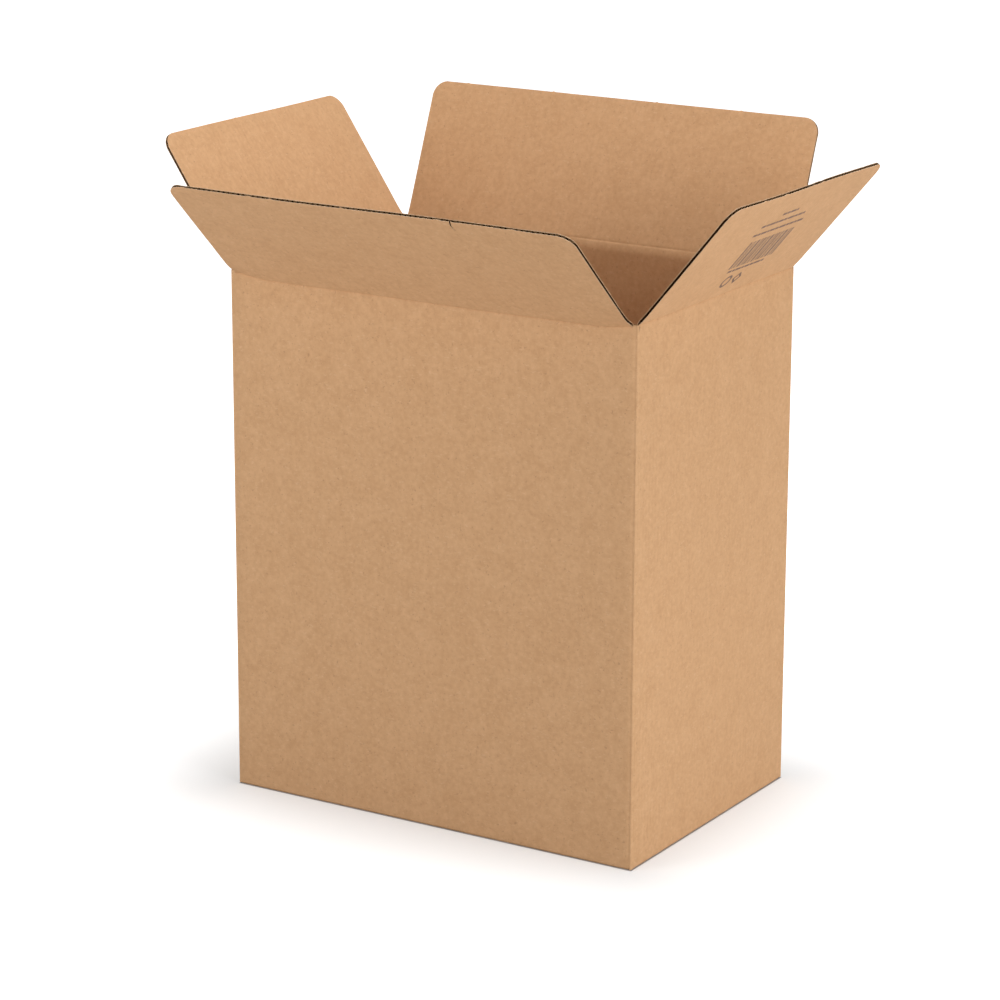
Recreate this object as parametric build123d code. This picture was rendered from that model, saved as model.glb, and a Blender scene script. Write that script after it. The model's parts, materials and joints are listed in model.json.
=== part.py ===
from build123d import *

import os

# Wine shipping box: one die-cut sheet of fine-fluted corrugated board, folded to a carton.
# It stands open. The origin is the centre of the base, the front is at -Y and +Z is up. Sizes are millimetres.
# The sheet's four walls, glue lap and locked bottom are one solid. Each top flap swings on its crease.

# Board: two liners with a fluted medium between them
board = 1.6
liner = 0.25
medium = 0.2
flute_pitch = 3.5
flute_crest = 0.42
fold_inner_radius = 0.4

# Carton, over the outside. The height is from the floor to the crease of the long sides.
length = 283.5
width = 191.5
height = 325

# Top flaps. The long pair closes first, between the short walls, and the short pair closes over it.
closing_clearance = 2
tuck_clearance = 0.6
front_flap_inset = 4.2
back_flap_inset = 2.8
short_flap_inset = 2
flap_seam = 0.6
flap_corner_radius = 10
crease_gap = 0.3
crease_land = 1.1
front_open_angle = 46.7
back_open_angle = 22.2
left_open_angle = 34.5
right_open_angle = 40

# Glue lap, inside the left wall at the back corner
lap_width = 34
lap_taper = 8
lap_end_gap = 6
joint_gap = 0.5

# Bottom: long flaps below, which hook over each other, and short flaps glued on top of them.
# The front one is deeper, so the seam between the long flaps lies just behind the middle.
corner_lift = 0.6
bottom_seam = 0.8
bottom_seam_offset = 2
bottom_clearance = 0.5
joggle_run = 5
lock_start = 1.5
lock_length = 54
lock_depth = 14
lock_corner_radius = 6
glue_tab_trim = 10
long_bottom_taper = 30
short_bottom_depth = 80
short_bottom_glued_taper = 24
short_bottom_free_taper = 46
score_width = 1.2
score_depth = 0.4

# How far a cutting solid runs past what it cuts
overrun = 5

half_length = length / 2
half_width = width / 2
fold_radius = board + fold_inner_radius
crease_step = board + closing_clearance
short_crease = height + crease_step
front_flap_span = length - 2 * front_flap_inset
back_flap_span = length - 2 * back_flap_inset
short_flap_span = width - 2 * short_flap_inset
long_flap_depth = half_width - flap_seam / 2
short_flap_depth = long_flap_depth - crease_step
flute_start = crease_gap + board + crease_land
long_fold_end = half_length - fold_radius
back_fold_end = long_fold_end - board
side_fold_end = half_width - fold_radius - joint_gap
lap_start = side_fold_end + joint_gap / 2
half_turn = 180
quarter_turn = 90


def polygon(*points):
    """A flat face with straight sides."""
    return make_face(Polyline(*points, close=True))


def flute_section(span):
    """The board's cut edge: a strip of its full thickness, pierced by the channels of the flutes.

    The channels stand base to base in turn on the outer and the inner liner.
    What stays between them is the medium.
    The pitch is fitted so that each end of the strip cuts a flute in half, which leaves it open there.
    """
    count = round(span / flute_pitch)
    pitch = span / count
    rise = board - 2 * liner - medium
    web = medium * (1 + (pitch / 2 / rise) ** 2) ** 0.5 / (pitch / 2 / rise)
    tip = flute_crest / 2
    base = (pitch / 2 - web - tip * (1 + medium / rise)) / (1 - medium / rise)
    low = liner
    high = liner + rise
    end = span / 2

    outline = Wire.make_polygon(
        [
            (-end, 0),
            (end, 0),
            (end, low),
            (end - base, low),
            (end - tip, high),
            (end, high),
            (end, board),
            (-end, board),
            (-end, high),
            (tip - end, high),
            (base - end, low),
            (-end, low),
        ]
    )
    channels = []
    for number in range(1, 2 * count):
        middle = number * pitch / 2 - end
        on_outer = number % 2 == 0
        wide = low if on_outer else board - low
        narrow = high if on_outer else board - high
        channels.append(
            Wire.make_polygon(
                [
                    (middle - base, wide),
                    (middle + base, wide),
                    (middle + tip, narrow),
                    (middle - tip, narrow),
                ]
            )
        )
    return Face(outline, channels)


def top_flap(span, depth):
    """A flap that stands straight up on its crease, which runs along X through the origin.

    Y goes through the board from the outer face. The root is mitred, so that the flap can close
    through a right angle, and the flutes are crushed flat there.
    They are open at the free edge, whose two corners are rounded.
    """
    root = polygon(
        (0, crease_gap),
        (0, flute_start),
        (board, flute_start),
        (board, crease_gap + board),
    )
    flap = extrude(Plane.YZ * root, span / 2, both=True)
    flap += extrude(Pos(Z=flute_start) * flute_section(span), depth - flute_start)

    reach = flap_corner_radius + overrun
    corner = Pos(overrun, overrun) * Rectangle(reach, reach, align=(Align.MAX, Align.MAX))
    corner -= Pos(-flap_corner_radius, -flap_corner_radius) * Circle(flap_corner_radius)
    corner = extrude(Plane.XZ * Pos(span / 2, depth) * corner, board + overrun, both=True)
    return flap - corner - mirror(corner, Plane.YZ)


def hinged(flap, turn, reach, crease, angle):
    """Sets a flap on its crease at one side of the carton and folds it outwards."""
    return Rot(Z=turn) * Pos(0, -reach, crease) * Rot(X=angle) * flap


def walls():
    """The four walls as one folded strip, which starts beside the back corner and ends just inside it."""
    side = half_length - board / 2
    front = half_width - board / 2
    strip = FilletPolyline(
        (-side, side_fold_end),
        (-side, -front),
        (side, -front),
        (side, front),
        (board - side, front),
        (board - side, lap_start),
        radius=fold_radius - board / 2,
    )
    return extrude(Pos(Z=corner_lift) * trace(strip, board), short_crease - corner_lift)


def glue_lap():
    """The end of the strip, glued flat inside the left wall. Its two ends slope in."""
    low = 2 * board + lap_end_gap
    high = height - board - lap_end_gap
    free_edge = lap_start - lap_width
    outline = polygon(
        (lap_start, low),
        (lap_start, high),
        (free_edge, high - lap_taper),
        (free_edge, low + lap_taper),
    )
    return extrude(Plane.YZ.offset(board - half_length) * outline, board)


def crease_cut(reach, crease, span):
    """What is taken off the top of a front wall, and of any wall after a turn, to mitre it below its flap."""
    top = short_crease + overrun
    outer = -reach
    inner = board - reach
    profile = polygon(
        (outer - overrun, crease),
        (outer, crease),
        (inner, crease - board),
        (inner + overrun, crease - board),
        (inner + overrun, top),
        (outer - overrun, top),
    )
    return extrude(Plane.YZ * profile, span / 2, both=True)


def fold_room(reach, fold_end):
    """What is taken off below a front wall, and of any wall after a turn, where its bottom fold goes."""
    room = Box(
        2 * fold_end,
        board + overrun,
        fold_radius + overrun,
        align=(Align.CENTER, Align.MAX, Align.MAX),
    )
    return Pos(0, board - reach, fold_radius) * room


def bottom_fold(reach, fold_end):
    """The rounded fold between a front wall and its bottom flap."""
    middle = (fold_radius - reach, fold_radius)
    bend = CenterArc(middle, fold_radius - board / 2, half_turn, quarter_turn)
    return extrude(Plane.YZ * trace(bend, board), fold_end, both=True)


def long_bottom(seam_place):
    """The front bottom flap, with its glue tab at the right end and the hook that laps over the back flap."""
    end = half_length - fold_radius - joggle_run - bottom_clearance
    free_edge = seam_place - bottom_seam / 2
    slope_start = free_edge - joggle_run
    lock_end = lock_start + lock_length
    outline = polygon(
        (-end, fold_radius - half_width),
        (end, fold_radius - half_width),
        (end, free_edge - glue_tab_trim),
        (end - glue_tab_trim, free_edge),
        (lock_end, free_edge),
        (lock_end, slope_start),
        (lock_start, slope_start),
        (lock_start, free_edge),
        (long_bottom_taper - end, free_edge),
    )
    flap = extrude(outline, board)

    hook_profile = polygon(
        (slope_start, 0),
        (free_edge, board),
        (lock_depth, board),
        (lock_depth, 2 * board),
        (free_edge, 2 * board),
        (slope_start, board),
    )
    hook = extrude(Plane.YZ.offset(lock_start) * hook_profile, lock_length)
    tips = hook.edges().filter_by(Axis.Z).group_by(Axis.Y)[-1]
    flap += fillet(tips, lock_corner_radius)

    run_start = half_length - end
    run_end = half_width + slope_start - joggle_run
    middle = (run_start + run_end) / 2
    score = Box((run_end - run_start) * 2**0.5, score_width, 2 * score_depth)
    return flap - Pos(half_length - middle, middle - half_width) * Rot(Z=-quarter_turn / 2) * score


def short_bottom():
    """The right bottom flap, which steps up from its fold to lie on the long flaps."""
    step_start = half_length - fold_radius
    step_end = step_start - joggle_run
    tip = half_length - short_bottom_depth
    profile = polygon(
        (step_start, 0),
        (step_end, board),
        (tip, board),
        (tip, 2 * board),
        (step_end, 2 * board),
        (step_start, board),
    )
    outline = polygon(
        (step_start, -side_fold_end),
        (step_start, side_fold_end),
        (tip, half_width - short_bottom_free_taper),
        (tip, short_bottom_glued_taper - half_width),
    )
    flap = extrude(Plane.XZ * profile, half_width, both=True)
    return flap & extrude(outline, 2 * board)


def carton_body():
    """Walls, lap and bottom. The bottom looks the same after half a turn, but for the place of its seam."""
    body = walls()
    for turn, fold_end in ((0, long_fold_end), (half_turn, back_fold_end)):
        body -= Rot(Z=turn) * fold_room(half_width, fold_end)
        body -= Rot(Z=turn + quarter_turn) * fold_room(half_length, side_fold_end)
    body += glue_lap()
    for turn, fold_end in ((0, long_fold_end), (half_turn, back_fold_end)):
        body += Rot(Z=turn) * bottom_fold(half_width, fold_end)
        body += Rot(Z=turn + quarter_turn) * bottom_fold(half_length, side_fold_end)
        body += Rot(Z=turn) * short_bottom()
    body += long_bottom(bottom_seam_offset)
    body += Rot(Z=half_turn) * long_bottom(-bottom_seam_offset)
    for turn, span in ((0, front_flap_span), (half_turn, back_flap_span)):
        body -= Rot(Z=turn) * crease_cut(half_width, height, span + tuck_clearance)
        body -= Rot(Z=turn + quarter_turn) * crease_cut(half_length, short_crease, short_flap_span)
    return body


front_flap = top_flap(front_flap_span, long_flap_depth)
back_flap = top_flap(back_flap_span, long_flap_depth)
short_flap = top_flap(short_flap_span, short_flap_depth)

nodes = {
    "carton_body": carton_body(),
    "front_flap": hinged(front_flap, 0, half_width, height, front_open_angle),
    "back_flap": hinged(back_flap, half_turn, half_width, height, back_open_angle),
    "left_flap": hinged(short_flap, -quarter_turn, half_length, short_crease, left_open_angle),
    "right_flap": hinged(short_flap, quarter_turn, half_length, short_crease, right_open_angle),
}

os.makedirs("parts", exist_ok=True)
for name, shape in nodes.items():
    export_step(shape, f"parts/{name}.step")
    print(name, len(shape.solids()), "solid", round(shape.volume), "mm3")
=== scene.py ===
# %% [markdown]
# This lesson dresses a wine shipping box, an open carton of fine corrugated board.
# The real carton is one die-cut sheet: four walls, a glued lap, a bottom that locks, and four top flaps.
# A CAD model already gives its size and its hinges, so it is loaded first and everything is made around it.

# %% The frame
import json
import math
from collections import namedtuple

import bpy
from mathutils import Matrix, Vector, noise


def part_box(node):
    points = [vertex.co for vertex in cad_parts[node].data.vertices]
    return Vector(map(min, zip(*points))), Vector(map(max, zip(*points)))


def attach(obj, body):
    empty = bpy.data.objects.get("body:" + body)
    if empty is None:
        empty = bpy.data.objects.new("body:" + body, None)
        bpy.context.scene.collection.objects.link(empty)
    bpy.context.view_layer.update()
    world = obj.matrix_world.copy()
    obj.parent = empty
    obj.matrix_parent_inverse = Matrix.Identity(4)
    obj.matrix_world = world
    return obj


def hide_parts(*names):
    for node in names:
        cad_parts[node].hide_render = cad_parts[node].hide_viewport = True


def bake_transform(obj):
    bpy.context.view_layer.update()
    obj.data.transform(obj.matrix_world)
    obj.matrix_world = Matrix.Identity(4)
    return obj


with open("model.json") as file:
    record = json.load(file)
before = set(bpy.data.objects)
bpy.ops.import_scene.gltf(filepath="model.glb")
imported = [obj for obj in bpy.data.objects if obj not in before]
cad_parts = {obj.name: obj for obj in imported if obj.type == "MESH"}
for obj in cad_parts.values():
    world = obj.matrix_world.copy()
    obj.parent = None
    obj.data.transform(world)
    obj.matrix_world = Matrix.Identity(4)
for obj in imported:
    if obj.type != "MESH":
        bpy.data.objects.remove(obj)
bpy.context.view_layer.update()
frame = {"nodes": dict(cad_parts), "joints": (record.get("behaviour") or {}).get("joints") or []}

print("CAD nodes:", sorted(frame["nodes"]))

# %% [markdown]
# Corrugated board is a sandwich: two flat liners with a wavy sheet, the medium, glued between them.
# Only the few sizes of that sandwich are typed here, and the carton's own sizes are read from the frame.

# %% The board
MM = 0.001
BOARD = 1.6 * MM
LINER = 0.18 * MM
MEDIUM = 0.2 * MM
FLUTE_PITCH = 3.5 * MM
CORNER_RADIUS = 10 * MM
FOLD_RADIUS = 2 * MM

body_low, body_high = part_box("carton_body")
HALF_LENGTH = body_high.x
HALF_WIDTH = body_high.y
print("carton over the walls:", [round(size / MM, 1) for size in body_high - body_low], "mm")

# %% [markdown]
# Each flap hangs on a crease, which the frame gives as a hinge on the outer face of its wall.
# A flap is easiest to model flat: u runs along the crease, v away from it and s inwards through the board.
# A closed flap lies level, a quarter turn inside upright, so the low limit of its hinge tells its opening.

# %% The creases
UP = Vector((0, 0, 1))
Flap = namedtuple("Flap", "name crease along outwards angle span depth")


def read_flap(joint):
    """A flap's place and size, from its hinge and from the box of its CAD node."""
    crease = Vector(joint["pos_m"])
    outwards = Vector((crease.x, crease.y, 0)).normalized()
    along = (-outwards).cross(UP)
    angle = math.radians(-joint["range_deg"][0] - 90)
    low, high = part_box(joint["child"])
    span = abs((high - low).dot(along))
    depth = (high.z - crease.z - BOARD * math.sin(angle)) / math.cos(angle)
    return Flap(joint["child"], crease, along, outwards, angle, span, depth)


def is_long(flap):
    """Whether a flap is on one of the carton's long sides."""
    return abs(flap.along.x) > 0.5


flaps = {joint["child"]: read_flap(joint) for joint in frame["joints"]}
for flap in flaps.values():
    sizes = [round(flap.span / MM, 1), round(flap.depth / MM, 1)]
    print(flap.name, sizes, "mm, open by", round(math.degrees(flap.angle), 1))

# %% [markdown]
# A crease is a line where a blunt rule has crushed the board, so that it bends there and nowhere else.
# It is a shallow valley on the outside, a groove on the inside, and never quite straight.
# At its two ends a long crease climbs to the higher creases of the short walls.
# Wall and flap could meet at the crease, but then a slit would open there whenever the flap swings.
# So each flap is made in one piece with the strip of wall below it, and these formulas shape both.

# %% The shape of a crease
SEAM_DROP = 5 * MM
OUTER_GROOVE = 0.5 * MM
OUTER_GROOVE_REACH = 0.45 * MM
INNER_GROOVE = 0.17 * MM
INNER_GROOVE_REACH = 0.5 * MM
INNER_GROOVE_PLACE = {"front_flap": MM, "back_flap": 4.8 * MM, "left_flap": MM, "right_flap": MM}
CREASE_WAVE = 0.22 * MM
CREASE_WAVE_LENGTH = 47 * MM
CREASE_WAVE_REACH = 7 * MM
CREASE_CLIMB = {"front_flap": 2.3 * MM, "back_flap": 1.5 * MM, "left_flap": 0, "right_flap": 0}
CREASE_CLIMB_REACH = 13 * MM


def bell(distance, reach):
    """One at zero distance, falling softly to nothing past the reach."""
    return math.exp(-((distance / reach) ** 2))


def smooth(share):
    """A soft step from 0 to 1."""
    share = min(max(share, 0), 1)
    return share * share * (3 - 2 * share)


def crease_rise(u, v, flap):
    """How far the wavy crease lifts a point that lies v above it."""
    seed = flap.crease.x + 2 * flap.crease.y
    from_end = flap.span / 2 - abs(u)
    wave = 2 * CREASE_WAVE * noise.noise(Vector((u / CREASE_WAVE_LENGTH, seed / MM, 0)))
    climb = CREASE_CLIMB[flap.name] * bell(from_end, CREASE_CLIMB_REACH)
    fade = smooth(1 + v / SEAM_DROP) if v < 0 else bell(v, CREASE_WAVE_REACH)
    return (wave * smooth(from_end / CREASE_WAVE_REACH) + climb) * fade


def crushed(s, v, flap):
    """The depth in the board of a point whose depth was s before the rule crushed the crease."""
    outer = OUTER_GROOVE * bell(v, OUTER_GROOVE_REACH)
    inner = BOARD - INNER_GROOVE * bell(v - INNER_GROOVE_PLACE[flap.name], INNER_GROOVE_REACH)
    return outer + (inner - outer) * s / BOARD


front = flaps["front_flap"]
print("board at the front bend:", round((crushed(BOARD, 0, front) - crushed(0, 0, front)) / MM, 2), "mm")

# %% [markdown]
# Operators act on whatever is selected, and the CAD nodes are selected after loading.
# These helpers pick one object, cut its mesh with a plane, and apply a modifier.

# %% Helpers for modelling
X = Vector((1, 0, 0))
Y = Vector((0, 1, 0))


def pick(piece):
    """Makes one object the only one selected."""
    bpy.ops.object.select_all(action="DESELECT")
    piece.select_set(True)
    bpy.context.view_layer.objects.active = piece


def cut(place, direction, clear=False):
    """Cuts the mesh in edit mode by a plane. With clear, what lies on the direction's side goes."""
    bpy.ops.mesh.select_all(action="SELECT")
    bpy.ops.mesh.bisect(plane_co=place, plane_no=direction, clear_outer=clear)


def apply_modifier(piece, kind, **settings):
    """Adds a modifier and applies it at once."""
    modifier = piece.modifiers.new(kind.title(), kind)
    for name, value in settings.items():
        setattr(modifier, name, value)
    pick(piece)
    bpy.ops.object.modifier_apply(modifier=modifier.name)


def count(piece):
    """How many triangles a piece has."""
    piece.data.calc_loop_triangles()
    return len(piece.data.loop_triangles)


bpy.ops.object.select_all(action="DESELECT")
print("nothing is selected")

# %% [markdown]
# The walls, lap and bottom keep the form of the CAD body, which is right but too perfect.
# A copy of its mesh, without the marks of a CAD node, is merged,
# so that its loose triangles become one closed skin.
# Below each flap a Boolean takes out the strip of wall that is made with the flap.

# %% The carton's walls and bottom
NOTCH_SLACK = 0.02 * MM
NOTCH_TOP = 8 * MM

pick(frame["nodes"]["carton_body"])
bpy.ops.object.duplicate()
shell = bpy.context.object
shell.name = "carton_shell"
shell.parent = None
shell.data = shell.data.copy()
for key in list(shell.keys()):
    del shell[key]
bpy.ops.object.mode_set(mode="EDIT")
bpy.ops.mesh.select_all(action="SELECT")
bpy.ops.mesh.remove_doubles(threshold=MM / 1000)
bpy.ops.object.mode_set(mode="OBJECT")


def cut_notch(flap):
    """Takes the strip of wall below a flap out of the shell."""
    span = flap.span + 2 * NOTCH_SLACK
    through = 2 * BOARD
    height = SEAM_DROP + NOTCH_TOP
    bpy.ops.object.select_all(action="DESELECT")
    bpy.ops.mesh.primitive_cube_add(size=1)
    block = bpy.context.object
    block.scale = (span, through, height) if is_long(flap) else (through, span, height)
    block.location = flap.crease - flap.outwards * BOARD / 2 + UP * (NOTCH_TOP - SEAM_DROP) / 2
    bpy.ops.object.transform_apply(location=True, rotation=True, scale=True)
    apply_modifier(shell, "BOOLEAN", object=block, operation="DIFFERENCE", solver="EXACT")
    bpy.data.objects.remove(block)


for flap in flaps.values():
    cut_notch(flap)
print("carton with its notches:", count(shell), "triangles")

# %% [markdown]
# The upright folds between the walls are scored too, so they are sharper than the board is thick.
# The CAD bends them round a wider arc. A Bevel couldn't undo that,
# so the points of each arc move to a tighter one.
# The lap's corner is two edges that meet, and stays as it is.

# %% Sharper corners
FOLD_EDGE_RADIUS = 0.9 * MM


def sharpened(point):
    """Where a point of the skin lies once the outer face of its corner fold is sharper."""
    side = Vector((math.copysign(1, point.x), math.copysign(1, point.y), 0))
    half_sizes = Vector((HALF_LENGTH, HALF_WIDTH, 0))
    middle = side * (half_sizes - Vector((FOLD_RADIUS, FOLD_RADIUS, 0))) + UP * point.z
    offset = point - middle
    in_fold = min((offset * side).xy) > -MM / 100 and abs(offset.length - FOLD_RADIUS) < MM / 20
    if not in_fold or side.x < 0 < side.y:
        return point
    new_middle = side * (half_sizes - Vector((FOLD_EDGE_RADIUS, FOLD_EDGE_RADIUS, 0))) + UP * point.z
    return new_middle + offset * FOLD_EDGE_RADIUS / FOLD_RADIUS


moved = 0
for vertex in shell.data.vertices:
    new_place = sharpened(vertex.co)
    moved += (new_place - vertex.co).length > 0
    vertex.co = new_place
print("points on sharper folds:", moved)

# %% [markdown]
# Then the skin is cut into a grid, so that it has points to push about.
# The grid is close near the creases and corners, where the shape turns quickly.

# %% A grid on the walls and bottom
GRID_STEP = 9 * MM
CORNER_STEPS = [step * MM for step in (0.9, 1.3, 1.7, 2.1, 2.6, 3.5, 6, 10)]
CREASE_STEPS = [step * MM for step in (0, 1.5, 3, 7, 10)]


def spread(half, step):
    """Places about a step apart, from one corner fold to the other."""
    end = half - FOLD_RADIUS
    number = round(2 * end / step)
    middle = [end * (2 * index / number - 1) for index in range(1, number)]
    corner = [side * (half - inset) for side in (-1, 1) for inset in CORNER_STEPS]
    return middle + corner


pick(shell)
bpy.ops.object.mode_set(mode="EDIT")
bpy.ops.mesh.select_all(action="SELECT")
bpy.ops.mesh.dissolve_limited(angle_limit=math.radians(0.5))
for x in spread(HALF_LENGTH, GRID_STEP):
    cut((x, 0, 0), X)
for y in spread(HALF_WIDTH, GRID_STEP):
    cut((0, y, 0), Y)
for z in spread(body_high.z / 2, 2 * GRID_STEP):
    cut((0, 0, body_high.z / 2 + z), UP)
for flap in (flaps["front_flap"], flaps["right_flap"]):
    for inset in CREASE_STEPS:
        cut((0, 0, flap.crease.z - inset), UP)
bpy.ops.object.mode_set(mode="OBJECT")
print("carton grid:", count(shell), "triangles")

# %% [markdown]
# Real walls bow a little between their corners and sink beside them,
# with a faint line where they were scored.
# Each point of the grid moves by formulas for that.
# A point belongs to a wall when it lies within the board, or the lap, behind the wall's outer face.

# %% Bowing the walls
WALL_BOW = 0.6 * MM
LAP_REACH = 2.2 * BOARD
CORNER_SINK = 0.25 * MM
CORNER_SINK_REACH = 3.5 * MM
CORNER_GROOVE = 0.2 * MM
CORNER_GROOVE_INSET = 1.7 * MM
CORNER_GROOVE_REACH = 0.55 * MM
SHOULDER = body_high.z - flaps["front_flap"].crease.z


def wall_set(u, height, flap):
    """How far a wall stands out of its plane at a height above the floor."""
    half = HALF_LENGTH if is_long(flap) else HALF_WIDTH
    bow = math.cos(math.pi / 2 * min(abs(u) / half, 1)) * math.sin(math.pi * min(height / flap.crease.z, 1))
    inset = half - abs(u)
    sink = CORNER_SINK * math.exp(-max(inset - FOLD_RADIUS, 0) / CORNER_SINK_REACH)
    groove = CORNER_GROOVE * bell(inset - CORNER_GROOVE_INSET, CORNER_GROOVE_REACH)
    return WALL_BOW * bow - sink - groove


def wall_shift(point, flap):
    """How one wall moves one of its points, as a vector."""
    offset = point - flap.crease
    u = offset.dot(flap.along)
    v = offset.dot(UP)
    s = -offset.dot(flap.outwards)
    if s > LAP_REACH:
        return Vector()
    shift = flap.outwards * wall_set(u, point.z, flap)
    if s < BOARD + MM / 10:
        shift += UP * crease_rise(u, v, flap) * (1 - smooth(v / SHOULDER))
    return shift


for vertex in shell.data.vertices:
    here = vertex.co.copy()
    for flap in flaps.values():
        vertex.co += wall_shift(here, flap)
pick(shell)
bpy.ops.object.shade_smooth_by_angle(angle=math.radians(25))
print("carton shell:", count(shell), "triangles")

# %% [markdown]
# A flap is the same sandwich with its cut edge in plain view, so its three sheets are modelled for real.
# A liner is a flat grid, trimmed at its rounded corners by planes that touch the corner arc.
# The fine rows near the crease and the free edge leave room for the groove, the crushed edge and the nicks.

# %% One liner, flat
ROW_STEP = 4 * MM
ROOT_STEPS = [step * MM for step in (-2.5, -1.4, -0.9, -0.6, -0.3, 0, 0.3, 0.6, 0.9, 1.3, 1.7, 2.1)]
ROOT_STEPS += [step * MM for step in (2.6, 3, 3.4, 3.8, 4.2, 4.6, 5, 5.5, 6.2, 7.5)]
EDGE_STEPS = [step * MM for step in (0.4, 1, 2)]
CORNER_CUTS = 10


def round_corners(flap):
    """Trims both free corners of the mesh in edit mode along their arcs."""
    for side in (-1, 1):
        centre = Vector((side * (flap.span / 2 - CORNER_RADIUS), 0, flap.depth - CORNER_RADIUS))
        for number in range(CORNER_CUTS):
            turn = math.pi / 2 * (number + 0.5) / CORNER_CUTS
            direction = Vector((side * math.sin(turn), 0, math.cos(turn)))
            cut(centre + direction * CORNER_RADIUS, direction, clear=True)


def flat_sheet(name, width, low, high, columns, rows, depth):
    """An upright grid that faces outwards, from low to high above the crease, at a depth in the board."""
    bpy.ops.object.select_all(action="DESELECT")
    bpy.ops.mesh.primitive_grid_add(x_subdivisions=columns, y_subdivisions=rows, size=1)
    sheet = bpy.context.object
    sheet.name = name
    sheet.scale = (width, high - low, 1)
    sheet.rotation_euler = (math.pi / 2, 0, 0)
    sheet.location = (0, depth, (low + high) / 2)
    bpy.ops.object.transform_apply(location=True, rotation=True, scale=True)
    return sheet


def make_liner(flap, nicks):
    """The outer liner of a flap, with close rows at its root and edge and columns at its nicks."""
    columns = round(2 * flap.span / FLUTE_PITCH)
    rows = round(flap.depth / ROW_STEP)
    sheet = flat_sheet(flap.name + "_liner", flap.span, -SEAM_DROP, flap.depth, columns, rows, 0)
    bpy.ops.object.mode_set(mode="EDIT")
    for v in ROOT_STEPS + [flap.depth - step for step in EDGE_STEPS]:
        cut((0, 0, v), UP)
    for nick in nicks:
        for inset in (-NICK_WIDTH, -NICK_WIDTH / 2, 0, NICK_WIDTH / 2, NICK_WIDTH):
            cut((nick + inset, 0, 0), X)
    round_corners(flap)
    bpy.ops.object.mode_set(mode="OBJECT")
    return sheet


print("extra rows in a liner:", len(ROOT_STEPS + EDGE_STEPS))

# %% [markdown]
# The medium is one wave that repeats.
# So a single flute is modelled, and an Array modifier lays out the rest.
# It starts just above the crease, where the rule hasn't crushed it.
# A sine is a formula, so its points are set by one instead of being dragged.

# %% The fluted medium, flat
FLUTE_STEPS = 10
MEDIUM_ROWS = 12
MEDIUM_START = 1.5 * MM
MEDIUM_STEPS = [step * MM for step in (2.6, 3.4, 4.2, 5)]
WAVE_HEIGHT = (BOARD - 2 * LINER - MEDIUM) / 2


def make_medium(flap):
    """The wavy sheet of a flap, from above its crease to its free edge."""
    number = round(flap.span / FLUTE_PITCH)
    pitch = flap.span / number
    name = flap.name + "_flutes"
    flute = flat_sheet(name, pitch, MEDIUM_START, flap.depth, FLUTE_STEPS, MEDIUM_ROWS, BOARD / 2)
    for vertex in flute.data.vertices:
        vertex.co.y -= WAVE_HEIGHT * math.cos(2 * math.pi * vertex.co.x / pitch)
        vertex.co.x += (pitch - flap.span) / 2
    apply_modifier(
        flute, "ARRAY", count=number, use_relative_offset=False, use_constant_offset=True,
        constant_offset_displace=(pitch, 0, 0), use_merge_vertices=True, merge_threshold=MM / 100,
    )
    bpy.ops.object.mode_set(mode="EDIT")
    for v in MEDIUM_STEPS + [flap.depth - step for step in EDGE_STEPS]:
        cut((0, 0, v), UP)
    round_corners(flap)
    bpy.ops.object.mode_set(mode="OBJECT")
    # The faces get the nearly black paper, painted shade of the flutes, and the rim gets the medium's own
    # brown.
    for paper in (fluting_painted_shade, fluting_edge_and_corner_shade):
        flute.data.materials.append(paper)
    apply_modifier(flute, "SOLIDIFY", thickness=MEDIUM, offset=0, material_offset_rim=1)
    return flute


print("the medium waves", round(WAVE_HEIGHT / MM, 2), "mm to each side")

# %% [markdown]
# Where the sheet was held in its frame during die-cutting, small nicks stay when it is torn out.
# There the liners are pinched together and a crumb of board stands proud.
# Everywhere else the blade has crushed the edge a little, more in some places than in others.

# %% Nicks and the crushed edge
NICK_WIDTH = 0.8 * MM
NICK_HEIGHT = 0.42 * MM
NICK_PINCH = 0.42 * MM
NICK_PINCH_WIDTH = 1.7 * MM
EDGE_CRUSH = 0.02 * MM
EDGE_CRUSH_REACH = 0.9 * MM
EDGE_DAMAGE = 0.3 * MM
EDGE_DAMAGE_START = 0.1
EDGE_DAMAGE_LENGTH = 11 * MM

NICKS = {
    "front_flap": [place * MM for place in (-125, -78, -62.5, -13.5, 51, 60, 100)],
    "back_flap": [place * MM for place in (-84.5, -25, 50, 114)],
    "left_flap": [18.5 * MM],
    "right_flap": [place * MM for place in (-57, -31.5, 14.5)],
}


def edge_distance(u, v, flap):
    """How far a point of a flap lies inside its cut outline."""
    across = flap.span / 2 - abs(u)
    below = flap.depth - v
    if across < CORNER_RADIUS and below < CORNER_RADIUS:
        return CORNER_RADIUS - math.hypot(CORNER_RADIUS - across, CORNER_RADIUS - below)
    return min(across, below)


def edge_pinch(u, v, flap):
    """How far both faces of the board are pressed in near the cut edge."""
    distance = max(edge_distance(u, v, flap), 0)
    seed = 50 * (flap.crease.x + flap.crease.y)
    damage = noise.noise(Vector((u / EDGE_DAMAGE_LENGTH, v / EDGE_DAMAGE_LENGTH, seed / MM)))
    press = EDGE_CRUSH + EDGE_DAMAGE * max(damage - EDGE_DAMAGE_START, 0)
    for nick in NICKS[flap.name]:
        press += NICK_PINCH * bell(u - nick, NICK_PINCH_WIDTH) * bell(flap.depth - v, 2 * NICK_PINCH_WIDTH)
    return min(press, NICK_PINCH) * math.exp(-distance / EDGE_CRUSH_REACH)


def nick_rise(u, v, flap):
    """How far the free edge stands proud at its nicks."""
    rise = sum(bell(u - nick, NICK_WIDTH) for nick in NICKS[flap.name])
    return NICK_HEIGHT * min(rise, 1) * math.exp(-max(flap.depth - v, 0) / EDGE_CRUSH_REACH)


print("nicks:", sum(len(places) for places in NICKS.values()))

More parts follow.
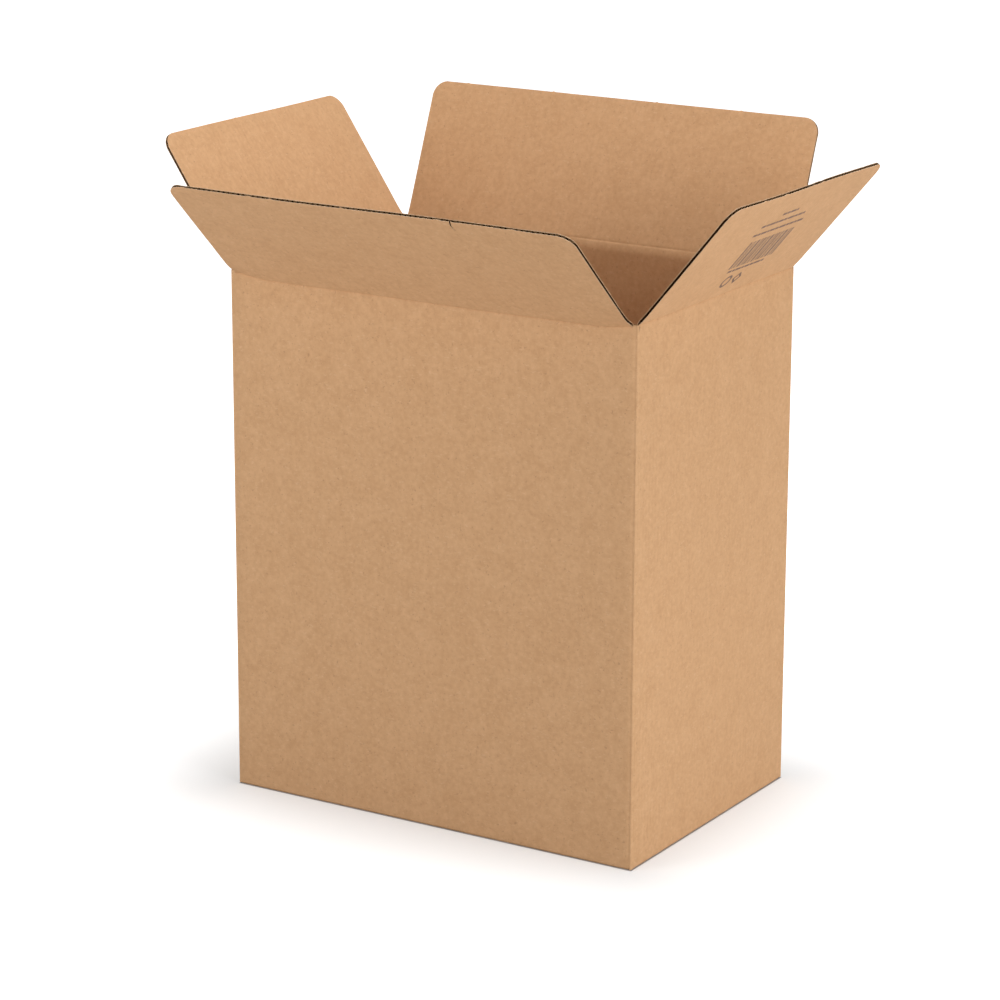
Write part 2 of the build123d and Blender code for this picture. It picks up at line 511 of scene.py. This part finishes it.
# %% [markdown]
# Beside one nick the front flap's outer liner has torn when the sheet was pulled free.
# The tear is a slit: two columns and a row are cut into the flat liner, the faces between them are deleted,
# and the points at its lower end are drawn together.

# %% The tear in the front flap
TEAR_PLACE = 59.5 * MM
TEAR_LENGTH = 9 * MM
TEAR_WIDTH = 1.2 * MM
TEAR_CLOSING_SHARE = 0.9
TEAR_LEAN_SHARE = 0.22
TEAR_LEAN_REACH = 6 * MM
TEAR_CURL = 0.35 * MM


def select_faces(piece, wanted):
    """Selects in edit mode the faces whose middle passes a test."""
    bpy.ops.mesh.select_all(action="DESELECT")
    bpy.ops.object.mode_set(mode="OBJECT")
    for polygon in piece.data.polygons:
        polygon.select = wanted(polygon.center)
    bpy.ops.object.mode_set(mode="EDIT")


def tear(liner, flap):
    """Opens the slit in a flat liner and leans it to one side."""
    foot = flap.depth - TEAR_LENGTH
    pick(liner)
    bpy.ops.object.mode_set(mode="EDIT")
    bpy.ops.mesh.select_mode(type="FACE")
    for side in (-TEAR_WIDTH / 2, TEAR_WIDTH / 2):
        cut((TEAR_PLACE + side, 0, 0), X)
    cut((0, 0, foot), UP)
    select_faces(liner, lambda middle: abs(middle.x - TEAR_PLACE) < TEAR_WIDTH / 2 and middle.z > foot)
    bpy.ops.mesh.delete(type="FACE")
    bpy.ops.object.mode_set(mode="OBJECT")
    for vertex in liner.data.vertices:
        across = vertex.co.x - TEAR_PLACE
        height = vertex.co.z - foot
        if height < -MM / 100:
            continue
        closing = 1 - height / TEAR_LENGTH
        if abs(across) < TEAR_WIDTH / 2 + MM / 100:
            vertex.co.x -= across * closing * closing * TEAR_CLOSING_SHARE
        vertex.co.y -= TEAR_CURL * (1 - closing) * bell(across - TEAR_WIDTH, 2 * TEAR_WIDTH) * (across > 0)
        lean = TEAR_LEAN_SHARE * (TEAR_LENGTH - height) * bell(across, TEAR_LEAN_REACH)
        vertex.co.x -= lean * smooth(height / (TEAR_LENGTH / 3))


print("tear:", round(TEAR_LENGTH / MM, 1), "mm long and", round(TEAR_WIDTH / MM, 1), "mm wide")

# %% [markdown]
# The sheets are joined and the whole flap is set on its crease.
# Its path turns softly from the wall's direction to the flap's, in a tighter bend outside than inside.
# The inner liner bends a little higher up, because the board springs back thicker than it was pressed.
# Below the crease the points follow the bow of the wall, so the strip runs on from the shell.
# A real flap isn't flat either, so a slow warp and a twist are added on the way.

# %% Setting a flap on its crease
FLAP_CURL = 0.3 * MM
FLAP_TWIST = {
    "front_flap": -0.4 * MM,
    "back_flap": 0.3 * MM,
    "left_flap": 0.35 * MM,
    "right_flap": -0.3 * MM,
}
FLAP_WAVE = 0.25 * MM
OUTER_BEND_REACH = 0.9 * MM
INNER_BEND_REACH = {
    "front_flap": 1.2 * MM,
    "back_flap": 3.4 * MM,
    "left_flap": 1.2 * MM,
    "right_flap": 1.2 * MM,
}
FLAP_SWELL = 0.36 * MM
WALL_SET_FADE = 8 * MM


def past_bend(share):
    """The area under the soft step up to a share of the bend. After the bend it grows evenly."""
    if share > 1:
        return share - 0.5
    return max(share, 0) ** 3 * (1 - max(share, 0) / 2)


def flap_point(u, s, v, flap):
    """Where a point of the flat flap lies on the carton."""
    high = max(v, 0) / flap.depth
    warp = FLAP_CURL * high * high + FLAP_TWIST[flap.name] * high * 2 * u / flap.span
    warp += FLAP_WAVE * high * math.sin(3 * math.pi * u / flap.span)
    pinch = edge_pinch(u, v, flap) * (1 - 2 * s / BOARD)
    depth = crushed(s, v, flap) + pinch * smooth(v / (2 * BOARD)) + warp
    height = v + nick_rise(u, v, flap)
    inwards_share = s / BOARD
    place = FLAP_SWELL / math.sin(flap.angle) * inwards_share
    length = 2 * (OUTER_BEND_REACH + (INNER_BEND_REACH[flap.name] - OUTER_BEND_REACH) * inwards_share)
    share = (height - place) / length + 0.5
    bent = length * past_bend(share)
    turn = flap.angle * smooth(share)
    outwards = bent * math.sin(flap.angle) - depth * math.cos(turn)
    outwards += wall_set(u, flap.crease.z + v, flap) * (1 - smooth(v / WALL_SET_FADE))
    up = height - bent * (1 - math.cos(flap.angle)) + depth * math.sin(turn) + crease_rise(u, v, flap)
    return flap.crease + flap.along * u + flap.outwards * outwards + UP * up


def set_on_crease(piece, flap):
    """Moves a flat piece to its place on the carton."""
    for vertex in piece.data.vertices:
        u, s, v = vertex.co
        vertex.co = flap_point(u, s, v, flap)


def make_flap(flap):
    """One whole flap with its strip of wall: two liners and the medium, joined and folded out."""
    outer = make_liner(flap, NICKS[flap.name])
    pick(outer)
    bpy.ops.object.duplicate()
    inner = bpy.context.object
    bpy.ops.object.mode_set(mode="EDIT")
    bpy.ops.mesh.select_all(action="SELECT")
    bpy.ops.transform.translate(value=(0, BOARD, 0))
    bpy.ops.mesh.flip_normals()
    bpy.ops.object.mode_set(mode="OBJECT")
    if flap.name == "front_flap":
        tear(outer, flap)
    for sheet in (outer, inner):
        for paper in (kraft[flap.name], cut_paper, liner_back):
            sheet.data.materials.append(paper)
        apply_modifier(
            sheet, "SOLIDIFY", thickness=LINER, offset=-1, material_offset=2, material_offset_rim=1
        )
    medium = make_medium(flap)
    bpy.ops.object.select_all(action="DESELECT")
    for sheet in (outer, inner, medium):
        sheet.select_set(True)
    bpy.context.view_layer.objects.active = outer
    bpy.ops.object.join()
    outer.name = flap.name + "_board"
    set_on_crease(outer, flap)
    bpy.ops.object.shade_smooth_by_angle(angle=math.radians(35))
    return outer


edge_middle = flap_point(0, 0, front.depth, front)
print("middle of the front flap's edge:", [round(place / MM, 1) for place in edge_middle], "mm")

# %% [markdown]
# Kraft paper is brown, but never one brown: it is cloudy, and fibres and specks of bark show in it.
# Its surface is matt, with a faint washboard where the flutes press through the liner.
# All of this is built from noise on Object coordinates, so that the pattern runs on from piece to piece.

# %% Helpers for materials
KRAFT_PALE = (0.665, 0.398, 0.212, 1)
KRAFT_DEEP = (0.583, 0.335, 0.168, 1)
SPECK_BROWN = (0.36, 0.19, 0.09, 1)
FIBRE_CREAM = (0.74, 0.50, 0.31, 1)


def new_material(name):
    """A material with an empty Principled shader, and its node tree."""
    material = bpy.data.materials.new(name)
    material.use_nodes = True
    return material, material.node_tree


def add_node(tree, kind, inputs=None, **settings):
    """Adds a node, sets it up, and fills its inputs with values or links."""
    made = tree.nodes.new(kind)
    for name, value in settings.items():
        setattr(made, name, value)
    for name, value in (inputs or {}).items():
        if isinstance(value, bpy.types.NodeSocket):
            tree.links.new(value, made.inputs[name])
        else:
            made.inputs[name].default_value = value
    return made


def maths(tree, operation, first, second=0.0):
    """One sum on two values or links."""
    return add_node(tree, "ShaderNodeMath", {0: first, 1: second}, operation=operation).outputs[0]


def cloud(tree, place, scale, detail=3.0, stretch=(1, 1, 1)):
    """Noise between 0 and 1, with features one part in scale of a metre wide."""
    mapping = add_node(tree, "ShaderNodeMapping", {"Vector": place, "Scale": stretch})
    inputs = {"Vector": mapping.outputs[0], "Scale": scale, "Detail": detail, "Roughness": 0.6}
    return add_node(tree, "ShaderNodeTexNoise", inputs).outputs["Fac"]


def between(tree, value, low, high, start=0.0, end=1.0):
    """Spreads the values from low to high over start to end, and holds them there."""
    inputs = {"Value": value, "From Min": low, "From Max": high, "To Min": start, "To Max": end}
    return add_node(tree, "ShaderNodeMapRange", inputs).outputs[0]


def mix(tree, share, first, second):
    """A colour between two others."""
    node = add_node(tree, "ShaderNodeMix", {"Factor": share}, data_type="RGBA")
    for socket, colour in ((node.inputs[6], first), (node.inputs[7], second)):
        if isinstance(colour, bpy.types.NodeSocket):
            tree.links.new(colour, socket)
        else:
            socket.default_value = colour
    return node.outputs[2]


print("kraft runs from", KRAFT_DEEP[:3], "to", KRAFT_PALE[:3])

# %% [markdown]
# The flutes stand upright in every wall and run away from the crease in every flap.
# On the front and back they follow each other along X, and on the short sides along Y.
# The carton's own walls need both, so there the surface normal chooses between the two.

# %% Kraft paper
FLUTE_BUMP = 0.035 * MM
PAPER_BUMP = 0.03 * MM


def across_flutes(tree, place, direction):
    """The coordinate that counts the flutes."""
    parts = add_node(tree, "ShaderNodeSeparateXYZ", {0: place}).outputs
    if direction != "walls":
        return parts[direction]
    normal = add_node(tree, "ShaderNodeNewGeometry").outputs["Normal"]
    normals = add_node(tree, "ShaderNodeSeparateXYZ", {0: normal}).outputs
    facing_x = maths(tree, "GREATER_THAN", maths(tree, "ABSOLUTE", normals["X"]), 0.7)
    along_y = maths(tree, "MULTIPLY", parts["Y"], facing_x)
    along_x = maths(tree, "MULTIPLY", parts["X"], maths(tree, "SUBTRACT", 1.0, facing_x))
    return maths(tree, "ADD", along_x, along_y)


def kraft_paper(name, direction):
    """Kraft liner whose flutes follow each other in one direction."""
    material, tree = new_material(name)
    shader = tree.nodes["Principled BSDF"]
    place = add_node(tree, "ShaderNodeTexCoord").outputs["Object"]
    clouds = cloud(tree, place, 70, 2)
    grain = cloud(tree, place, 330, 6)
    tone = maths(tree, "ADD", maths(tree, "MULTIPLY", clouds, 0.3), maths(tree, "MULTIPLY", grain, 0.7))
    colour = mix(tree, between(tree, tone, 0.36, 0.64), KRAFT_DEEP, KRAFT_PALE)
    fibres = cloud(tree, place, 420, 2, stretch=(1, 1, 2.4))
    colour = mix(tree, between(tree, fibres, 0.60, 0.72, 0, 0.4), colour, FIBRE_CREAM)
    specks = cloud(tree, place, 620, 1)
    colour = mix(tree, between(tree, specks, 0.67, 0.77, 0, 0.4), colour, SPECK_BROWN)
    turns = maths(tree, "MULTIPLY", across_flutes(tree, place, direction), 2 * math.pi / FLUTE_PITCH)
    washboard = maths(tree, "SINE", turns)
    tree.links.new(colour, shader.inputs["Base Color"])
    tree.links.new(between(tree, grain, 0.3, 0.7, 0.72, 0.9), shader.inputs["Roughness"])
    shader.inputs["Specular IOR Level"].default_value = 0.22
    ribs = add_node(tree, "ShaderNodeBump", {"Height": washboard, "Distance": FLUTE_BUMP, "Strength": 0.5})
    inputs = {"Height": grain, "Distance": PAPER_BUMP, "Strength": 0.6, "Normal": ribs.outputs[0]}
    tree.links.new(add_node(tree, "ShaderNodeBump", inputs).outputs[0], shader.inputs["Normal"])
    return material


kraft = {"carton_shell": kraft_paper("kraft_walls", "walls")}
for flap in flaps.values():
    direction = "X" if is_long(flap) else "Y"
    kraft[flap.name] = kraft_paper("kraft_" + flap.name, direction)
print("kraft materials:", len(kraft))

# %% [markdown]
# The raw edge of a liner is lighter than its face, because the blade opens its fibres.
# The medium is recycled paper, duller than the liners. Its faces lie in the shade of the flutes,
# and are painted nearly black as that painted shade, which draws the dark line along a cut edge.
# The liners' backs and the medium's own raw edge are lighter, and show once in every flute, which breaks the
# line into dots.

# %% Cut paper, and the medium in painted shade
def plain_paper(name, deep, pale, scale, gloss=0.1):
    """A rough paper with nothing but fibres."""
    material, tree = new_material(name)
    shader = tree.nodes["Principled BSDF"]
    place = add_node(tree, "ShaderNodeTexCoord").outputs["Object"]
    fibres = cloud(tree, place, scale, 4)
    colour = mix(tree, between(tree, fibres, 0.35, 0.65), deep, pale)
    tree.links.new(colour, shader.inputs["Base Color"])
    tree.links.new(between(tree, fibres, 0.3, 0.7, 0.8, 0.95), shader.inputs["Roughness"])
    shader.inputs["Specular IOR Level"].default_value = gloss
    bump = add_node(tree, "ShaderNodeBump", {"Height": fibres, "Distance": PAPER_BUMP, "Strength": 0.8})
    tree.links.new(bump.outputs[0], shader.inputs["Normal"])
    return material


cut_paper = plain_paper("cut_paper", (0.60, 0.40, 0.24, 1), (0.80, 0.60, 0.42, 1), 900)
# The medium's faces are painted nearly black: painted shade, for the shade deep in the flutes.
fluting_painted_shade = plain_paper("fluting_painted_shade", (0.018, 0.007, 0.002, 1), (0.04, 0.017, 0.006, 1), 600, 0)
# The medium's own brown, for its raw rim; on the carton's corner tops the same paper is painted shade of the
# flutes.
fluting_edge_and_corner_shade = plain_paper("fluting_edge_and_corner_shade", (0.17, 0.095, 0.04, 1), (0.29, 0.17, 0.085, 1), 900, 0)
liner_back = plain_paper("liner_back", (0.40, 0.22, 0.105, 1), (0.55, 0.33, 0.17, 1), 600, 0)
print("papers:", [paper.name for paper in (cut_paper, fluting_painted_shade, fluting_edge_and_corner_shade, liner_back)])

# %% [markdown]
# With the papers mixed, the carton gets its finish.
# The rim of the glue lap and the edges of the bottom flaps are raw, and get the lighter cut paper.
# The tops of the corners look down into the flutes, so they get the medium's darker paper as painted shade.
# These faces are found by their place and normal.

# %% The carton's finish
RAW_EDGE_INSET = 4 * MM


def is_corner_top(face):
    """Whether a face of the shell is the raw top of a corner, between two flaps."""
    return face.normal.z > 0.5 and face.center.z > flaps["front_flap"].crease.z - SEAM_DROP / 2


def is_raw_edge(face):
    """Whether a face of the shell is the rim of the lap or the edge of a bottom flap."""
    middle = face.center
    level = abs(face.normal.z) > 0.5
    inside = abs(middle.x) < HALF_LENGTH - RAW_EDGE_INSET and abs(middle.y) < HALF_WIDTH - RAW_EDGE_INSET
    bottom_edge = not level and inside and middle.z < LAP_REACH
    from_left = middle.x + HALF_LENGTH
    lap_rim = abs(face.normal.x) < 0.5 and 0.9 * BOARD < from_left < LAP_REACH
    return bottom_edge or (lap_rim and abs(middle.y) < HALF_WIDTH - FOLD_RADIUS)


shell.data.materials.clear()
for paper in (kraft["carton_shell"], cut_paper, fluting_edge_and_corner_shade):
    shell.data.materials.append(paper)
raw_edges = [face for face in shell.data.polygons if is_raw_edge(face)]
corner_tops = [face for face in shell.data.polygons if is_corner_top(face)]
for face in raw_edges:
    face.material_index = 1
# The corner tops take the darker medium paper as painted shade of the flutes.
for face in corner_tops:
    face.material_index = 2
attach(shell, "carton")
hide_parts("carton_body")
print("faces on raw edges:", len(raw_edges), "and on corner tops:", len(corner_tops))

# %% [markdown]
# The four flaps are made by the same function.
# Each one is set on its crease at the opening its hinge gives, and its CAD node is hidden.

for flap in flaps.values():
    board = make_flap(flap)
    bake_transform(board)
    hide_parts(flap.name)
    print(board.name, count(board), "triangles")

# %% [markdown]
# Cartons carry a small printed panel on one flap, in thin grey-brown ink.
# Here it is a plain block of bars, a few dashed lines and two simple marks, with no words.
# Each shape is a thin plate of ink laid on the flat flap and folded out with it, because small print
# drawn in a material would blur when the model is exported.

# %% The printed panel
INK_LIFT = 0.03 * MM
INK_STEP = 6 * MM
BAR_WIDTHS = [width * MM for width in (1.8, 0.7, 1.2, 0.6, 2.4, 0.7, 1.2)]
BAR_GAP = 1.25 * MM
BAR_LOW = 28 * MM
BAR_HIGH = 51 * MM
BARS_START = -24 * MM
BARS_END = 29 * MM


def ink_plate(u, v, width, height):
    """A flat rectangle of ink on the outer face, cut into short runs so that it can follow the warp."""
    rows = max(1, round(height / INK_STEP))
    columns = max(1, round(width / INK_STEP))
    plate = flat_sheet("ink", width, v, v + height, columns, rows, -INK_LIFT)
    plate.data.transform(Matrix.Translation((u + width / 2, 0, 0)))
    return plate


def ink_row(start, end, v, height, lengths, gap):
    """A row of plates, whose lengths follow each other in turn until the row is full."""
    row = []
    while start < end:
        length = lengths[len(row) % len(lengths)]
        row.append(ink_plate(start, v, length, height))
        start += length + gap
    return row


plates = ink_row(BARS_START, BARS_END, BAR_LOW, BAR_HIGH - BAR_LOW, BAR_WIDTHS, BAR_GAP)
print("bars:", len(plates))

# %% [markdown]
# The dashed lines stand for lines of small print: rows of short plates of uneven length.
# The marks are a ring and a square. Each is a filled circle, of many sides or of four, that is inset
# by the width of its line and loses the face in its middle.

# %% The dashed lines and the marks
DASH_HEIGHT = 1.9 * MM
DASH_GAP = 0.8 * MM
DASH_LENGTHS = [length * MM for length in (5, 3, 7, 2.5, 6, 4, 8, 3.5)]
DASH_ROWS = [(-21 * MM, 22 * MM, 24 * MM), (-30 * MM, 32 * MM, 56.5 * MM)]
DASH_ROWS += [(-28 * MM, 27 * MM, 63.5 * MM), (-10 * MM, 10 * MM, 70 * MM)]
MARK_RADIUS = 5.2 * MM
MARK_LINE = 1.8 * MM
MARKS = [(-10 * MM, 14.5 * MM, 24), (3 * MM, 14.5 * MM, 4)]


def ink_outline(u, v, sides):
    """A closed line of ink round a point of the flap."""
    bpy.ops.object.select_all(action="DESELECT")
    bpy.ops.mesh.primitive_circle_add(vertices=sides, radius=MARK_RADIUS, fill_type="NGON")
    mark = bpy.context.object
    mark.rotation_euler = (math.pi / 2, 0, 0)
    mark.location = (u, -INK_LIFT, v)
    bpy.ops.object.transform_apply(location=True, rotation=True, scale=True)
    bpy.ops.object.mode_set(mode="EDIT")
    bpy.ops.mesh.select_all(action="SELECT")
    bpy.ops.mesh.inset(thickness=MARK_LINE)
    bpy.ops.mesh.delete(type="FACE")
    bpy.ops.object.mode_set(mode="OBJECT")
    return mark


for start, end, v in DASH_ROWS:
    plates += ink_row(start, end, v, DASH_HEIGHT, DASH_LENGTHS, DASH_GAP)
for u, v, sides in MARKS:
    plates.append(ink_outline(u, v, sides))
print("ink plates:", len(plates))

# %% [markdown]
# Ink soaks into the paper, so it is matt and uneven and lets some brown through.
# All the plates become one piece, which is folded out by the formula that folds the flap.

# %% Folding the print out with its flap
INK_DEEP = (0.10, 0.052, 0.03, 1)
INK_PALE = (0.20, 0.11, 0.064, 1)


def print_ink():
    """Thin matt ink, darker where the paper took more of it."""
    material, tree = new_material("print_ink")
    shader = tree.nodes["Principled BSDF"]
    place = add_node(tree, "ShaderNodeTexCoord").outputs["Object"]
    grain = cloud(tree, place, 700, 3)
    colour = mix(tree, between(tree, grain, 0.4, 0.62), INK_DEEP, INK_PALE)
    tree.links.new(colour, shader.inputs["Base Color"])
    tree.links.new(between(tree, grain, 0.3, 0.7, 0.6, 0.8), shader.inputs["Roughness"])
    bump = add_node(tree, "ShaderNodeBump", {"Height": grain, "Distance": PAPER_BUMP, "Strength": 0.4})
    tree.links.new(bump.outputs[0], shader.inputs["Normal"])
    return material


bpy.ops.object.select_all(action="DESELECT")
for plate in plates:
    plate.select_set(True)
bpy.context.view_layer.objects.active = plates[0]
bpy.ops.object.join()
print_panel = plates[0]
print_panel.name = "right_flap_print"
print_panel.data.materials.append(print_ink())
set_on_crease(print_panel, flaps["right_flap"])
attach(print_panel, "right_flap")
print(print_panel.name, count(print_panel), "triangles")

# %% [markdown]
# The stage is a wide white floor under soft lamps.
# The floor is pale grey, with a glow that makes it white and that only the camera sees.
# The glow is weak close to the carton, where the floor keeps the soft shadow, and full further off.
# How close is measured from the carton's own footprint, so the glow fades evenly round all four walls.
# Under the carton there is none, or it would shine through the slits between the bottom flaps.

# %% The floor and the world
FLOOR_SIZE = 40
FLOOR_DROP = 0.1 * MM
FLOOR_GREY = (0.62, 0.62, 0.62, 1)
NEAR_GLOW = 0.38
FAR_GLOW = 1.0
GLOW_REACH = 0.14
SKY_STRENGTH = 0.15


def seen_directly(tree):
    """One for what the camera sees, also in a mirror or through glass, and nothing for light."""
    path = add_node(tree, "ShaderNodeLightPath").outputs
    reflected = maths(tree, "MAXIMUM", path["Is Glossy Ray"], path["Is Transmission Ray"])
    return maths(tree, "MAXIMUM", path["Is Camera Ray"], reflected)


def off_footprint(tree, place):
    """How far a point of the floor lies outside the carton's footprint."""
    kind = "ShaderNodeVectorMath"
    half_sizes = (HALF_LENGTH, HALF_WIDTH, 0)
    spans = add_node(tree, kind, {0: place}, operation="ABSOLUTE").outputs[0]
    beyond = add_node(tree, kind, {0: spans, 1: half_sizes}, operation="SUBTRACT").outputs[0]
    outside = add_node(tree, kind, {0: beyond, 1: (0, 0, 0)}, operation="MAXIMUM").outputs[0]
    return add_node(tree, kind, {0: outside}, operation="LENGTH").outputs["Value"]


def floor_white():
    """Pale grey that glows white away from the carton."""
    material, tree = new_material("floor_white")
    shader = tree.nodes["Principled BSDF"]
    shader.inputs["Base Color"].default_value = FLOOR_GREY
    shader.inputs["Roughness"].default_value = 0.9
    shader.inputs["Specular IOR Level"].default_value = 0.1
    shader.inputs["Emission Color"].default_value = (1, 1, 1, 1)
    place = add_node(tree, "ShaderNodeTexCoord").outputs["Object"]
    distance = off_footprint(tree, place)
    spread_glow = between(tree, distance, 0, GLOW_REACH, NEAR_GLOW, FAR_GLOW)
    open_glow = maths(tree, "MULTIPLY", spread_glow, maths(tree, "GREATER_THAN", distance, 0.0))
    glow = maths(tree, "MULTIPLY", seen_directly(tree), open_glow)
    tree.links.new(glow, shader.inputs["Emission Strength"])
    return material


bpy.ops.object.select_all(action="DESELECT")
bpy.ops.mesh.primitive_plane_add(size=FLOOR_SIZE, location=(0, 0, -FLOOR_DROP))
floor = bpy.context.object
floor.name = "floor"
floor.data.materials.append(floor_white())

world = bpy.data.worlds.new("studio")
bpy.context.scene.world = world
world.use_nodes = True
sky = world.node_tree.nodes["Background"]
sky.inputs["Color"].default_value = (1, 1, 1, 1)
strength = between(world.node_tree, seen_directly(world.node_tree), 0.0, 1.0, SKY_STRENGTH, 1.0)
world.node_tree.links.new(strength, sky.inputs["Strength"])
print("floor glow:", NEAR_GLOW, "to", FAR_GLOW, "and sky light:", SKY_STRENGTH)

# %% [markdown]
# A big soft lamp on the right lights the short wall. A small one near by on the left lights the long
# wall, brightest at its top left, and one further off in front fills in. Both leave the flap above
# a shade darker.
# One overhead reaches into the open carton and onto the inner faces of the flaps.
# Area lamps give soft shadows, and the pale floor throws some light up under the flaps.

# %% The lamps
AIM = Vector((0, 0, 0.2))


def soft_lamp(name, place, size, power):
    """An area lamp that looks at the middle of the carton."""
    bpy.ops.object.select_all(action="DESELECT")
    bpy.ops.object.light_add(type="AREA", location=place)
    lamp = bpy.context.object
    lamp.name = name
    lamp.data.size = size
    lamp.data.energy = power
    lamp.rotation_euler = (AIM - Vector(place)).to_track_quat("-Z", "Y").to_euler()
    return lamp


lamps = [
    soft_lamp("right_lamp", (2.4, -0.5, 0.5), 1.4, 41.5),
    soft_lamp("left_lamp", (-0.5, -0.9, 0.6), 0.45, 3.6),
    soft_lamp("front_lamp", (0.2, -2.4, 0.7), 1.2, 6.5),
    soft_lamp("top_lamp", (0.2, 0.2, 2.6), 1.6, 45),
]
print("lamps:", len(lamps))

# %% [markdown]
# The camera looks at the carton from the photograph's side: a long lens, a little above it and to its right.

# %% The camera
CAMERA_PLACE = (1.1201, -1.8269, 0.7801)
CAMERA_DIRECTION = Vector((-0.5064, 0.81945, -0.26843))
CAMERA_ROLL = math.radians(0.2)
CAMERA_LENS = 130

bpy.ops.object.camera_add(location=CAMERA_PLACE)
camera = bpy.context.object
camera.data.lens = CAMERA_LENS
turn = CAMERA_DIRECTION.to_track_quat("-Z", "Y").to_matrix() @ Matrix.Rotation(CAMERA_ROLL, 3, "Z")
camera.rotation_euler = turn.to_euler()
bpy.context.scene.camera = camera
bpy.context.scene.view_settings.view_transform = "Standard"
print("camera lens:", CAMERA_LENS, "mm")
